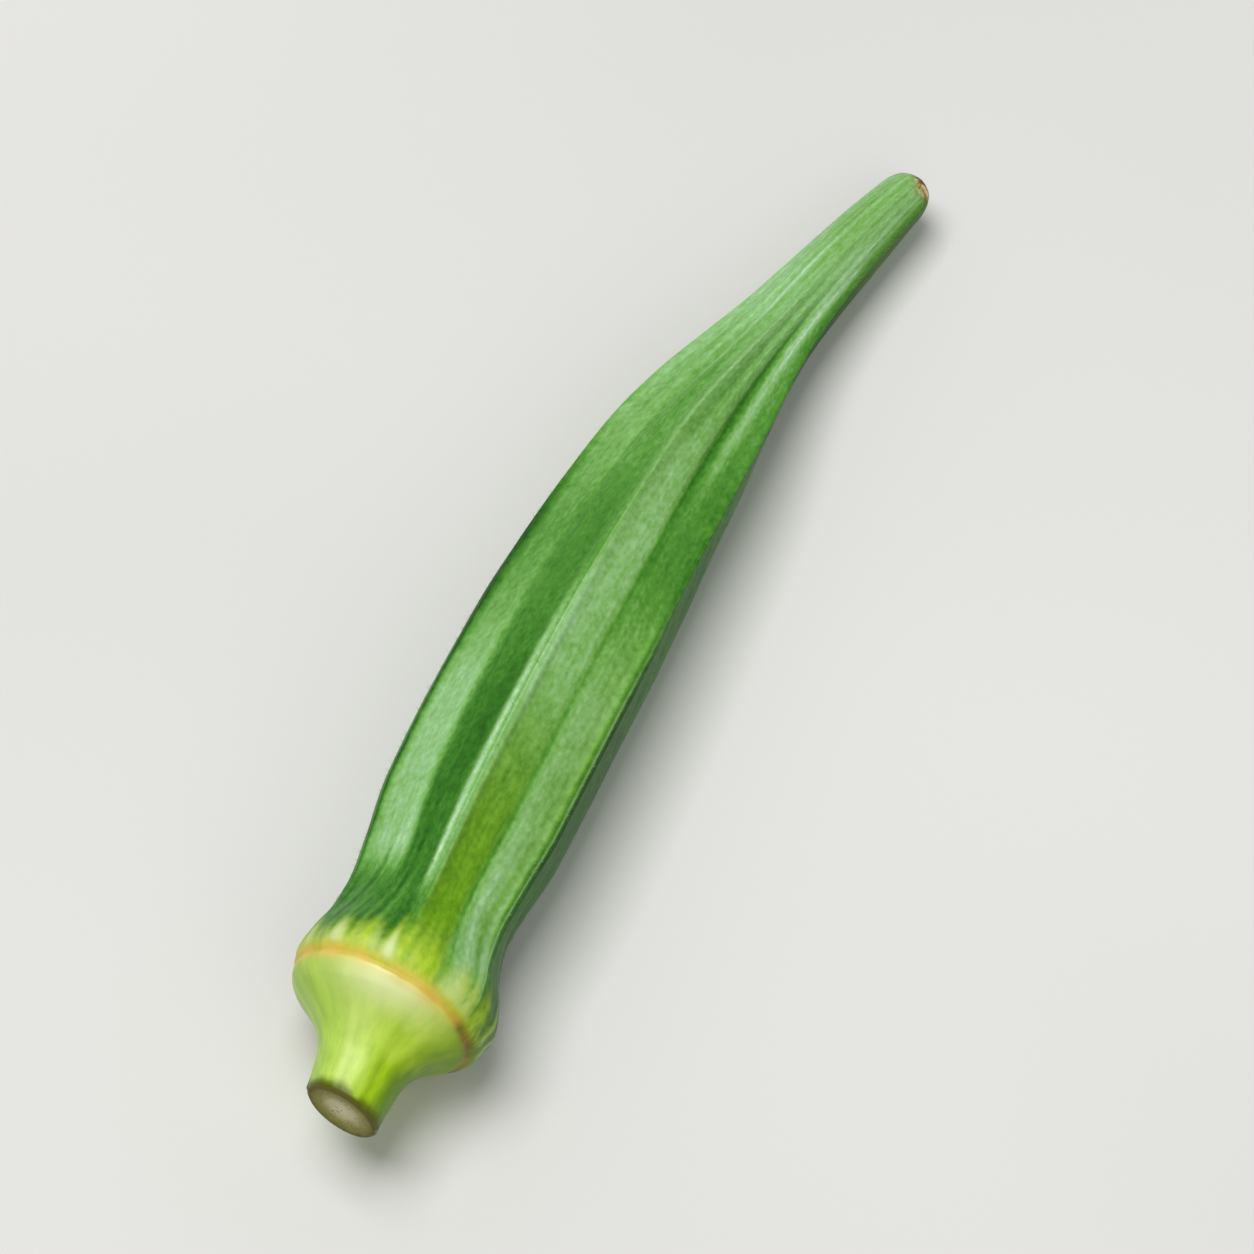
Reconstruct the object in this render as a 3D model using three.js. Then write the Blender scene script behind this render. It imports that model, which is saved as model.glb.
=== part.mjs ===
// Okra pod, as picked, lying on its side: cut stalk, cap, shoulder, five-ribbed body and blunt tip.
// The pod grew as one piece, so it is one closed solid. Its skin is a grid: stations along a bowed
// axis, and at each station a section whose radius is worked out for every angle round the axis.
// Millimetres, +Z up, +X from the cut stalk to the tip, lowest points on the plane z = 0.
import * as THREE from "three";

// Axis: its length along X, its sideways slope towards +Y, and its fall from cap to tip
const LENGTH = 120;
const BOW_START = 0.146;
const BOW_EVEN = 0.12;
const BOW_HOOK = 0.28;
const AXIS_HEIGHT = 10.32;
const AXIS_DIP = 0.0435;

// Radius over the rib crests, as [distance from the cut, radius]: stalk and cap, then shoulder and body
const CREST = [
  [0, 3.75], [2.4, 3.95], [4.6, 4.3], [6.2, 5.0], [7.6, 6.2], [8.8, 7.65], [9.7, 8.85], [10.6, 9.5],
  [11.4, 9.7], [12.8, 10.1], [15, 9.8], [17.6, 9.1], [20.5, 8.9], [25, 9.35], [32, 10.25], [42, 10.45],
  [52, 10.4], [60, 9.95], [70, 9.15], [77, 8.55], [84, 7.4], [91, 5.8], [97, 4.6], [104, 3.85],
  [112, 3.3], [118, 2.75],
];

// Seam between the cap and the shoulder: a fine groove all round, tilted so that it lies further from
// the cut on the top and on the +Y side. The skin near it follows the tilt as far as the reach.
const SEAM_AT = 10.45;
const SEAM_WIDTH = 0.28;
const SEAM_DEPTH = 0.25;
const SEAM_RISE_UP = 0.6;
const SEAM_RISE_SIDE = 0.9;
const SEAM_REACH = 5;

// Cut end: small bevel at its edge, shallow dish inside, and the slant of the knife, which leaves the
// -Y side longer and the top shorter
const CUT_BEVEL = 0.3;
const CUT_DISH = 0.35;
const CUT_SLANT_UP = -0.05;
const CUT_SLANT_SIDE = 0.17;
const CUT_SLANT_REACH = 4;

// Blunt tip: how far from the end it starts to round off, and how square that rounding is
const TIP_ROUNDING = 3.2;
const TIP_SQUARENESS = 2.2;

// Ribs: angle of each from straight up, in degrees towards -Y, and how far the middle of the face
// after it lies from the axis, as a share of the crest radius
const RIB_ANGLES = [2, 59, 143, 217, 295];
const FACE_RATIOS = [0.9, 0.895, 0.775, 0.85, 0.875];
const RIBS_BEGIN = 12.5;
const RIBS_FULL = 24;

// Taper: where it begins and is full, how much lower its faces lie, and how round the tip gets and
// from where to where
const TAPER_BEGIN = 62;
const TAPER_FULL = 88;
const TAPER_SINK = 0.05;
const TIP_ROUNDNESS = 0.85;
const TIP_ROUND_FROM = 86;
const TIP_ROUND_BY = 108;

// Twist of the ribs along the taper, in degrees towards -Y, and where it starts and ends
const TIP_TWIST = 14;
const TWIST_SPAN = [74, 112];

// Each rib is a pair of fine ridges with a groove between, which join into one along the taper.
// Spread and widths are angles in degrees. The ridges lose some height by the tip and where it is thin.
const RIDGE_SPREAD = 3.4;
const RIDGE_WIDTH = 2.3;
const JOINED_RIDGE_WIDTH = 4.6;
const RIDGE_HEIGHT = 0.32;
const RIDGE_JOIN_FROM = 46;
const RIDGE_JOIN_TO = 72;
const RIDGE_LOSS = 0.75;
const RIDGE_FULL_RADIUS = 3;

// Groove down the middle of each face, its width in degrees, over the wall between two seed chambers
const GROOVE_WIDTH = 4.5;
const GROOVE_DEPTH_BELLY = 0.14;
const GROOVE_DEPTH_TAPER = 0.55;
const GROOVE_FROM = 16;
const GROOVE_TO = 108;

// Grid: stretches of stations as [from, to, steps], and columns across half a face, rib to middle
const STATIONS = [
  [CUT_BEVEL, 4.2, 4], [4.2, 9.2, 7], [9.2, SEAM_AT, 4], [SEAM_AT, 11.6, 4], [11.6, 19.6, 6],
  [19.6, 96, 29], [96, LENGTH - TIP_ROUNDING, 7],
];
const TIP_STEPS = 5;
const CUT_FACE_STEPS = 3;
const HALF_FACE_COLUMNS = [0, 0.095, 0.2, 0.35, 0.53, 0.71, 0.87];

const radians = THREE.MathUtils.degToRad;
const smoothstep = THREE.MathUtils.smoothstep;

// Smooth curve through [x, y] points, with no overshoot: cubic steps whose slope at each point is
// the harmonic mean of the slopes on its two sides, or flat where those differ in sign.
function through(points, x) {
  const last = points.length - 1;
  const at = THREE.MathUtils.clamp(x, points[0][0], points[last][0]);
  let i = 0;
  while (i < last - 1 && at > points[i + 1][0]) i += 1;
  const rise = (k) => (points[k + 1][1] - points[k][1]) / (points[k + 1][0] - points[k][0]);
  const slope = (k) => {
    if (k === 0) return rise(0);
    if (k === last) return rise(last - 1);
    const before = rise(k - 1);
    const after = rise(k);
    return before * after > 0 ? (2 * before * after) / (before + after) : 0;
  };
  const width = points[i + 1][0] - points[i][0];
  const u = (at - points[i][0]) / width;
  const start = (1 + 2 * u) * (1 - u) ** 2 * points[i][1] + u * (1 - u) ** 2 * width * slope(i);
  return start + u * u * (3 - 2 * u) * points[i + 1][1] + u * u * (u - 1) * width * slope(i + 1);
}

// Point of the axis at a distance x from the cut, with its tangent, upward and -Y side directions
function axisFrame(x) {
  const t = x / LENGTH;
  const y = LENGTH * (BOW_START * t - (BOW_EVEN * t ** 2) / 2 - (BOW_HOOK * t ** 4) / 4);
  const point = new THREE.Vector3(x, y, AXIS_HEIGHT - AXIS_DIP * x);
  const slope = BOW_START - BOW_EVEN * t - BOW_HOOK * t ** 3;
  const tangent = new THREE.Vector3(1, slope, -AXIS_DIP).normalize();
  const up = new THREE.Vector3(0, 0, 1).addScaledVector(tangent, -tangent.z).normalize();
  const side = new THREE.Vector3().crossVectors(tangent, up);
  return { point, tangent, up, side };
}

// Narrow bell of height 1 round zero
function bell(distance, width) {
  return Math.exp(-((distance / width) ** 2));
}

// Crest radius: the smooth profile, rounded off at the tip
function crestRadius(x) {
  const over = Math.max(0, (x - (LENGTH - TIP_ROUNDING)) / TIP_ROUNDING);
  const rounded = (1 - Math.min(1, over) ** TIP_SQUARENESS) ** (1 / TIP_SQUARENESS);
  return through(CREST, x) * rounded;
}

// Distance from the cut of a grid point: its station's own, moved with the seam's tilt near the seam
function followSeam(station, angle) {
  const rise = SEAM_RISE_UP * Math.cos(angle) - SEAM_RISE_SIDE * Math.sin(angle);
  return station + rise * bell(station - SEAM_AT, SEAM_REACH);
}

// Radius at a station for one column, which has its angle from the nearest rib and the half angle and
// share of its face: a straight chord from rib to mid-face, eased into a circle at the cap and partly
// at the tip, plus the ridges and less the groove
function sectionRadius(x, column) {
  const crest = crestRadius(x);
  const ribbed = smoothstep(x, RIBS_BEGIN, RIBS_FULL);
  const taper = smoothstep(x, TAPER_BEGIN, TAPER_FULL);
  const tipRound = TIP_ROUNDNESS * smoothstep(x, TIP_ROUND_FROM, TIP_ROUND_BY);
  const round = 1 - ribbed * (1 - tipRound);
  const middle = column.ratio - TAPER_SINK * taper;
  const half = radians(column.halfAngle);
  const turn = radians(column.fromRib);
  const chord = (middle * Math.sin(half)) / (Math.sin(turn) + middle * Math.sin(half - turn));
  const face = crest * (chord + (1 - chord) * round);
  const joined = smoothstep(x, RIDGE_JOIN_FROM, RIDGE_JOIN_TO);
  const near = bell(column.fromRib - RIDGE_SPREAD, RIDGE_WIDTH);
  const far = bell(column.fromRib + RIDGE_SPREAD, RIDGE_WIDTH);
  const ridge = (near + far) * (1 - joined) + bell(column.fromRib, JOINED_RIDGE_WIDTH) * joined;
  const kept = 1 - RIDGE_LOSS * smoothstep(x, TIP_ROUND_FROM, TIP_ROUND_BY);
  const strength = ribbed * kept * Math.min(1, crest / RIDGE_FULL_RADIUS);
  const depth = GROOVE_DEPTH_BELLY + (GROOVE_DEPTH_TAPER - GROOVE_DEPTH_BELLY) * taper;
  const grooved = smoothstep(x, GROOVE_FROM, RIBS_FULL) * (1 - smoothstep(x, TAPER_FULL, GROOVE_TO));
  const groove = depth * grooved * bell(column.halfAngle - column.fromRib, GROOVE_WIDTH);
  return face + RIDGE_HEIGHT * strength * (ridge - 1) - groove;
}

// Columns round the pod, in order of angle: each face has a first half after its rib and a second
// half before the next rib, with the same spacing mirrored
function makeColumns() {
  const columns = [];
  RIB_ANGLES.forEach((rib, k) => {
    const next = k + 1 < RIB_ANGLES.length ? RIB_ANGLES[k + 1] : RIB_ANGLES[0] + 360;
    const halfAngle = (next - rib) / 2;
    const ratio = FACE_RATIOS[k];
    const add = (fromRib, angle) => columns.push({ angle: radians(angle), fromRib, halfAngle, ratio });
    HALF_FACE_COLUMNS.forEach((share) => add(share * halfAngle, rib + share * halfAngle));
    add(halfAngle, rib + halfAngle);
    const backwards = HALF_FACE_COLUMNS.slice(1).reverse();
    backwards.forEach((share) => add(share * halfAngle, next - share * halfAngle));
  });
  return columns;
}

// Place of a skin point: on its section, turned by the taper's twist, shifted along the axis by the
// slanted cut, and never below the rest plane, so that the lowest spots are flat
function place(x, radius, column) {
  const { point, tangent, up, side } = axisFrame(x);
  const angle = column.angle + radians(TIP_TWIST) * smoothstep(x, ...TWIST_SPAN);
  const upward = radius * Math.cos(angle);
  const sideways = radius * Math.sin(angle);
  const slope = CUT_SLANT_UP * upward + CUT_SLANT_SIDE * sideways;
  const slant = -slope * Math.max(0, 1 - x / CUT_SLANT_REACH);
  point.addScaledVector(up, upward);
  point.addScaledVector(side, sideways);
  point.addScaledVector(tangent, slant);
  point.z = Math.max(0, point.z);
  return point;
}

// Stations from the bevelled edge of the cut to the last one before the tip's end point
function makeStations() {
  const stations = [];
  STATIONS.forEach(([from, to, steps]) => {
    for (let i = 0; i < steps; i += 1) stations.push(from + ((to - from) * i) / steps);
  });
  for (let i = 0; i < TIP_STEPS; i += 1) {
    stations.push(LENGTH - TIP_ROUNDING + TIP_ROUNDING * Math.sin((i * Math.PI) / 2 / TIP_STEPS));
  }
  return stations;
}

// Rings of points over the whole skin, each in the order of the columns: the dished cut face from
// its middle outwards, then every station. The two end points close it.
function podGeometry() {
  const columns = makeColumns();
  const rings = [];
  const cutRadius = crestRadius(0) - CUT_BEVEL;
  for (let i = 1; i <= CUT_FACE_STEPS; i += 1) {
    const share = i / CUT_FACE_STEPS;
    const dished = CUT_DISH * (1 - share ** 2);
    rings.push(columns.map((column) => place(dished, cutRadius * share, column)));
  }
  makeStations().forEach((station) => {
    const seam = SEAM_DEPTH * bell(station - SEAM_AT, SEAM_WIDTH);
    rings.push(columns.map((column) => {
      const x = followSeam(station, column.angle);
      return place(x, sectionRadius(x, column) - seam, column);
    }));
  });
  const cutMiddle = axisFrame(CUT_DISH).point;
  const tipEnd = axisFrame(LENGTH).point;
  const points = [cutMiddle, ...rings.flat(), tipEnd];
  const count = columns.length;
  const vertex = (ring, column) => 1 + ring * count + (column % count);
  const faces = [];
  for (let c = 0; c < count; c += 1) {
    faces.push(0, vertex(0, c + 1), vertex(0, c));
    for (let r = 0; r + 1 < rings.length; r += 1) {
      faces.push(vertex(r, c), vertex(r, c + 1), vertex(r + 1, c + 1));
      faces.push(vertex(r, c), vertex(r + 1, c + 1), vertex(r + 1, c));
    }
    faces.push(points.length - 1, vertex(rings.length - 1, c), vertex(rings.length - 1, c + 1));
  }
  const geometry = new THREE.BufferGeometry().setFromPoints(points);
  geometry.setIndex(faces);
  geometry.computeVertexNormals();
  return geometry;
}

const skin = new THREE.MeshStandardMaterial({ color: 0x5a9a3c, roughness: 0.55, metalness: 0 });
const pod = new THREE.Mesh(podGeometry(), skin);
pod.name = "okra_pod";

// The grid starts at the cut, so the pod is moved to put the middle of its footprint at the origin
const footprint = new THREE.Box3().setFromObject(pod).getCenter(new THREE.Vector3());
pod.position.set(-footprint.x, -footprint.y, 0);

const okra = new THREE.Group();
okra.add(pod);
export default okra;
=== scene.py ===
import bpy
import numpy as np
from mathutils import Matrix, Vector


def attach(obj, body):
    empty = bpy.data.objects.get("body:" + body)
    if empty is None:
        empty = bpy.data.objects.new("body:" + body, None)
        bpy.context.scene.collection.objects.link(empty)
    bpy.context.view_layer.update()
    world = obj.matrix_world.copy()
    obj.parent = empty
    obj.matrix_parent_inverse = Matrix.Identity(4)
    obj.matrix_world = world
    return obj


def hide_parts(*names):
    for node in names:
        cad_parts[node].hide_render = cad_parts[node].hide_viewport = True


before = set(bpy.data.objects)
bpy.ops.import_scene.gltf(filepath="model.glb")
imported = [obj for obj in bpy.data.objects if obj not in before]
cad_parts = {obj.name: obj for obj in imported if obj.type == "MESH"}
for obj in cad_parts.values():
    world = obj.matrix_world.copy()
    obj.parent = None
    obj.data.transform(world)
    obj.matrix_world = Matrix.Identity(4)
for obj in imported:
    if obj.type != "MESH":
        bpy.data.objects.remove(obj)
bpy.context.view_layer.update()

# The pod's skin. The real pod grew as one piece: cut stalk, domed cap, pleated shoulder and a body
# of five ribs that draws in to a blunt tip. It lies on its shoulder and two lower ribs. Its axis
# runs along X, bowed in plan. Sizes here are millimetres and degrees; MM turns them to metres.
MM = 0.001
LENGTH = 120
BOW_START = 0.146
BOW_EVEN = 0.12
BOW_HOOK = 0.28
AXIS_HEIGHT = 10.32
AXIS_DIP = 0.0435
# Distance from the cut, and radius over the rib crests there
CREST = [
    (0, 3.75), (2.4, 3.95), (4.6, 4.3), (6.2, 5.0), (7.6, 6.2), (8.8, 7.65), (9.7, 8.85),
    (10.6, 9.5), (11.4, 9.7), (12.8, 10.1), (15, 9.8), (17.6, 9.1), (20.5, 8.9), (25, 9.35),
    (32, 10.25), (42, 10.45), (52, 10.4), (60, 9.95), (70, 9.15), (77, 8.55), (84, 7.4),
    (91, 5.8), (97, 4.6), (104, 3.85), (112, 3.3), (118, 2.75),
]
SEAM_AT = 10.45
SEAM_RISE_UP = 0.6
SEAM_RISE_SIDE = 0.9
SEAM_REACH = 5
TIP_ROUNDING = 3.2
TIP_SQUARENESS = 2.2
CUT_BEVEL = 0.3
CUT_DISH = 0.35
CUT_SLANT_UP = -0.05
CUT_SLANT_SIDE = 0.17
CUT_SLANT_REACH = 4
# Angles go round the pod from straight up towards -Y. A face lies past each rib, and its ratio is
# the radius at its middle over the crest radius.
RIB_ANGLES = np.array([2, 59, 143, 217, 295])
FACE_RATIOS = np.array([0.9, 0.895, 0.775, 0.85, 0.875])
RIBS_BEGIN = 12.5
RIBS_FULL = 24
TAPER_BEGIN = 62
TAPER_FULL = 88
TAPER_SINK = 0.05
TIP_ROUNDNESS = 0.85
TIP_ROUND_SPAN = (86, 108)
TIP_TWIST = 14
TWIST_SPAN = (74, 112)


def ease(x, start, end):
    """Smooth step: 0 before start, 1 after end, 3t^2 - 2t^3 between them."""
    t = np.clip((x - start) / (end - start), 0, 1)
    return t * t * (3 - 2 * t)


def bell(distance, width):
    """Narrow bell of height 1 round zero: e to the minus (distance / width) squared."""
    return np.exp(-((distance / width) ** 2))


def span(s, start, full, last, end):
    """Share of a stretch: eased in from start to full, and out from last to end."""
    return ease(s, start, full) * (1 - ease(s, last, end))


def through(points, x):
    """Smooth curve through points with no overshoot: cubic steps whose slope at a point is the
    harmonic mean of the rises on its two sides, or flat where those differ in sign."""
    px, py = np.array(points, float).T
    rise = np.diff(py) / np.diff(px)
    product = rise[:-1] * rise[1:]
    total = np.where(product > 0, rise[:-1] + rise[1:], 1)
    inner = np.where(product > 0, 2 * product / total, 0)
    slope = np.concatenate([rise[:1], inner, rise[-1:]])
    at = np.clip(x, px[0], px[-1])
    i = np.clip(np.searchsorted(px, at, side="right") - 1, 0, len(px) - 2)
    width = px[i + 1] - px[i]
    u = (at - px[i]) / width
    start = (1 + 2 * u) * (1 - u) ** 2 * py[i] + u * (1 - u) ** 2 * width * slope[i]
    return start + u * u * (3 - 2 * u) * py[i + 1] + u * u * (u - 1) * width * slope[i + 1]


def crest_radius(s):
    """Radius over the rib crests at a distance s from the cut: the curve through CREST, times a
    superellipse quarter over the last TIP_ROUNDING, which closes the blunt tip."""
    over = np.clip((s - (LENGTH - TIP_ROUNDING)) / TIP_ROUNDING, 0, 1)
    return through(CREST, s) * (1 - over**TIP_SQUARENESS) ** (1 / TIP_SQUARENESS)


def follow_seam(station, angle):
    """Distance from the cut of a point of the skin: its station's, plus a bell round the seam times
    the seam's tilt, which is a cosine and a sine of the angle."""
    turn = np.radians(angle)
    rise = SEAM_RISE_UP * np.cos(turn) - SEAM_RISE_SIDE * np.sin(turn)
    return station + rise * bell(station - SEAM_AT, SEAM_REACH)


def face_place(angle):
    """For angles round the pod in degrees: which face each is on, its angle from the rib before
    it, and half that face's angle."""
    turned = np.mod(angle - RIB_ANGLES[0], 360) + RIB_ANGLES[0]
    face = np.searchsorted(RIB_ANGLES, turned, side="right") - 1
    ends = np.append(RIB_ANGLES[1:], RIB_ANGLES[0] + 360)
    return face, turned - RIB_ANGLES[face], (ends[face] - RIB_ANGLES[face]) / 2


def face_radius(s, angle):
    """Section without fine relief: crest radius times the chord from a rib to the face's middle,
    eased into a circle over the cap and partly at the tip."""
    face, along, half = face_place(angle)
    from_rib = np.minimum(along, 2 * half - along)
    ribbed = ease(s, RIBS_BEGIN, RIBS_FULL)
    taper = ease(s, TAPER_BEGIN, TAPER_FULL)
    roundness = 1 - ribbed * (1 - TIP_ROUNDNESS * ease(s, *TIP_ROUND_SPAN))
    middle = FACE_RATIOS[face] - TAPER_SINK * taper
    half_turn = np.radians(half)
    turn = np.radians(from_rib)
    chord = middle * np.sin(half_turn) / (np.sin(turn) + middle * np.sin(half_turn - turn))
    return crest_radius(s) * (chord + (1 - chord) * roundness)


# Relief of the skin, in millimetres of height. Each rib is a pair of fine ridges with a groove
# between them, joined into one along the taper; a groove runs down the middle of each face over
# the wall between two seed chambers; the shoulder is gathered into small uneven pleats.
RIDGE_SPREAD = 3.4
RIDGE_WIDTH = 2.3
JOINED_RIDGE_WIDTH = 4.6
RIDGE_HEIGHT = 0.32
RIDGE_JOIN = (46, 72)
RIDGE_LOSS = 0.75
RIDGE_FULL_RADIUS = 3
GROOVE_WIDTH = 4.5
GROOVE_DEPTH_BELLY = 0.14
GROOVE_DEPTH_TAPER = 0.55
GROOVE_FROM = 16
GROOVE_TO = 108
SEAM_WIDTH = 0.26
SEAM_DEPTH = 0.16
SEAM_WANDER = 0.05
LIP_BACK = 0.55
LIP_WIDTH = 0.45
LIP_HEIGHT = 0.07
LIP_UNEVENNESS = 0.5
CAP_FLUTE_HEIGHT = 0.04
CAP_FLUTES_START = (2, 6)
CAP_FLUTES_END = (8.6, 9.8)
STALK_FLUTE_HEIGHT = 0.06
STALK_FLUTES_END = (3.5, 7)
BODY_SPAN = (14, 24, 112, 118)
VEIN_HEIGHT = 0.012
VEIN_SWAY = 1.2
FLUTE_HEIGHT = 0.06
FLUTE_SWAY = 2.5
FLUTES_START = (70, 92)
FLUTES_END = (96, 112)
FLUTES_LOSS = 0.9
SEED_BUMP_HEIGHT = 0.05
SEED_PITCH = 5.2
SEED_ROW_WIDTH = 9
SEED_ROW_TURNS = 3
SEEDS_SPAN = (22, 30, 84, 96)
UNEVEN_HEIGHT = 0.07
# Whole numbers of waves round the pod in each uneven pattern, and its seed
SEAM_WAVES = ((7, 12, 19, 31), 1)
LIP_WAVES = ((2, 5, 9), 2)
CAP_WAVES = ((5, 8, 10, 13), 3)
STALK_WAVES = ((7, 11, 17, 23), 4)
VEIN_WAVES = ((84, 61, 47, 97), 6)
FLUTE_WAVES = ((15, 22, 29), 8)
# Pitch along the pod of each slow drift, and its seed
VEIN_DRIFT = (40, 5)
FLUTE_DRIFT = (60, 7)
SEED_DRIFT = (30, 9)
UNEVEN_DRIFT = (34, 10)
WAVE_GAIN = 1.6
WAVE_LEAST_WEIGHT = 0.5
DRIFT_TERMS = 7
DRIFT_ROUNDS = 4
DRIFT_PITCHES = (0.6, 1.8)
DRIFT_GAIN = 0.25
# Pleats of the shoulder: angle of each, half its width, its height and how creamy it is
PLEATS = np.array([
    (-34, 5.5, 1.0, 0.9), (-21, 4, 0.5, 0.2), (-11, 5, 0.8, 0.35), (-1, 3.6, 1.0, 1.1),
    (12, 5, 0.5, 0.1), (22, 4, 0.4, 0.0), (41, 9, 0.7, 0.6), (53, 4, 0.6, 0.3),
    (68, 6, 0.6, 0.05), (83, 6, 0.8, 0.1), (99, 4, 0.7, 0.5), (113, 5, 0.9, 0.4),
    (129, 6, 0.7, 0.7), (146, 4, 0.8, 0.9), (160, 5, 0.6, 0.4), (176, 6, 0.9, 0.7),
    (194, 4, 0.7, 0.5), (208, 5, 0.9, 0.8), (223, 4, 0.6, 0.4), (238, 6, 0.8, 0.6),
    (255, 5, 0.7, 0.5), (270, 4, 0.9, 0.8), (286, 5, 0.7, 0.4), (302, 5, 0.9, 0.6),
    (314, 4, 0.6, 0.3),
])
PLEAT_HEIGHT_COLUMN, PLEAT_CREAM_COLUMN = 2, 3
PLEAT_HEIGHT = 0.13
PLEAT_MIDDLE = 0.6
PLEAT_SPAN = (10.6, 11.5, 13.5, 18)


def waves(angle, counts, seed):
    """Uneven periodic pattern round the pod, about -1 to 1: the weighted mean of cosines with the
    given whole numbers of waves and seeded phases and weights, times WAVE_GAIN."""
    rng = np.random.default_rng(seed)
    weights = rng.uniform(WAVE_LEAST_WEIGHT, 1, len(counts))
    phases = rng.uniform(0, 2 * np.pi, len(counts))
    total = sum(w * np.cos(np.radians(angle) * n + p) for w, n, p in zip(weights, counts, phases))
    return total / weights.sum() * WAVE_GAIN


def drifting(s, angle, size, seed):
    """Slow seeded unevenness over the skin, about -1 to 1: the sum of DRIFT_TERMS cosines that run
    along and round the pod, times DRIFT_GAIN."""
    rng = np.random.default_rng(seed)
    total = np.zeros(np.broadcast(s, angle).shape)
    for _ in range(DRIFT_TERMS):
        rounds = rng.integers(-DRIFT_ROUNDS, DRIFT_ROUNDS + 1)
        pitch = size * rng.uniform(*DRIFT_PITCHES)
        phase = rng.uniform(0, 2 * np.pi)
        total = total + np.cos(2 * np.pi * s / pitch + np.radians(angle) * rounds + phase)
    return total * DRIFT_GAIN


def ridges(s, angle):
    """Height of the rib ridges: two bells either side of each rib, blended into one wide bell."""
    _, along, half = face_place(angle)
    from_rib = np.minimum(along, 2 * half - along)
    joined = ease(s, *RIDGE_JOIN)
    pair = bell(from_rib - RIDGE_SPREAD, RIDGE_WIDTH) + bell(from_rib + RIDGE_SPREAD, RIDGE_WIDTH)
    ridge = pair * (1 - joined) + bell(from_rib, JOINED_RIDGE_WIDTH) * joined
    kept = 1 - RIDGE_LOSS * ease(s, *TIP_ROUND_SPAN)
    closing = np.minimum(1, crest_radius(s) / RIDGE_FULL_RADIUS)
    return RIDGE_HEIGHT * ease(s, RIBS_BEGIN, RIBS_FULL) * kept * closing * (ridge - 1)


def face_groove(s, angle):
    """Depth of the groove down the middle of each face: a bell, deepest along the taper."""
    _, along, half = face_place(angle)
    taper = ease(s, TAPER_BEGIN, TAPER_FULL)
    depth = GROOVE_DEPTH_BELLY + (GROOVE_DEPTH_TAPER - GROOVE_DEPTH_BELLY) * taper
    shown = span(s, GROOVE_FROM, RIBS_FULL, TAPER_FULL, GROOVE_TO)
    return depth * shown * bell(along - half, GROOVE_WIDTH)


def angle_from(angle, middle):
    """Distance in degrees from one angle round the pod, -180 to 180."""
    return np.mod(angle - middle + 180, 360) - 180


def pleat_pattern(angle, column, narrowed=1.0):
    """Sum over the pleats of a bell round each one's angle, of its width or narrowed, times one
    column of the list."""
    total = 0.0
    for row in PLEATS:
        total = total + row[column] * bell(angle_from(angle, row[0]), row[1] * narrowed)
    return total


def pleats(station, angle):
    """Shoulder pleats: rounded uneven waves just past the seam, fading as the ribs take over."""
    gathered = pleat_pattern(angle, PLEAT_HEIGHT_COLUMN) - PLEAT_MIDDLE
    return PLEAT_HEIGHT * span(station, *PLEAT_SPAN) * gathered


def seam_middle(angle):
    """Station of the seam's middle, which wanders a little from its plane."""
    return SEAM_AT + SEAM_WANDER * waves(angle, *SEAM_WAVES)


def fine_relief(station, angle):
    """Everything small: the seam's groove and lip, soft flutes on the cap, fine veins along the
    body, flutes along the taper, faint seed bumps and the pleats."""
    s = follow_seam(station, angle)
    past_seam = station - seam_middle(angle)
    seam = -SEAM_DEPTH * bell(past_seam, SEAM_WIDTH)
    lip = LIP_HEIGHT * bell(past_seam + LIP_BACK, LIP_WIDTH)
    lip = lip * (1 + LIP_UNEVENNESS * waves(angle, *LIP_WAVES))
    cap = ease(s, *CAP_FLUTES_START) * (1 - ease(station, *CAP_FLUTES_END))
    cap_flutes = CAP_FLUTE_HEIGHT * cap * waves(angle, *CAP_WAVES)
    stalk = STALK_FLUTE_HEIGHT * (1 - ease(s, *STALK_FLUTES_END)) * waves(angle, *STALK_WAVES)
    body = span(s, *BODY_SPAN)
    swaying = angle + VEIN_SWAY * drifting(s, angle, *VEIN_DRIFT)
    veins = VEIN_HEIGHT * body * waves(swaying, *VEIN_WAVES)
    taper = ease(s, *FLUTES_START) * (1 - FLUTES_LOSS * ease(s, *FLUTES_END))
    swaying = angle + FLUTE_SWAY * drifting(s, angle, *FLUTE_DRIFT)
    flutes = FLUTE_HEIGHT * taper * waves(swaying, *FLUTE_WAVES)
    _, along, half = face_place(angle)
    row = bell(np.abs(along - half) - 0.5 * half, SEED_ROW_WIDTH)
    phase = 2 * np.pi * s / SEED_PITCH + np.radians(angle) * SEED_ROW_TURNS
    swell = np.cos(phase + drifting(s, angle, *SEED_DRIFT))
    seeds = SEED_BUMP_HEIGHT * span(s, *SEEDS_SPAN) * row * swell
    uneven = UNEVEN_HEIGHT * body * drifting(s, angle, *UNEVEN_DRIFT)
    return seam + lip + cap_flutes + stalk + veins + flutes + seeds + uneven + pleats(station, angle)


def axis_frame(s):
    """The bowed axis: its point, tangent, upward and -Y side directions at a distance s."""
    t = s / LENGTH
    y = LENGTH * (BOW_START * t - BOW_EVEN * t**2 / 2 - BOW_HOOK * t**4 / 4)
    point = np.stack([s, y, AXIS_HEIGHT - AXIS_DIP * s], -1)
    slope = BOW_START - BOW_EVEN * t - BOW_HOOK * t**3
    tangent = np.stack([np.ones_like(t), slope, np.full_like(t, -AXIS_DIP)], -1)
    tangent = tangent / np.linalg.norm(tangent, axis=-1, keepdims=True)
    up = np.array([0, 0, 1]) - tangent * tangent[..., 2:]
    up = up / np.linalg.norm(up, axis=-1, keepdims=True)
    return point, tangent, up, np.cross(tangent, up)


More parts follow.
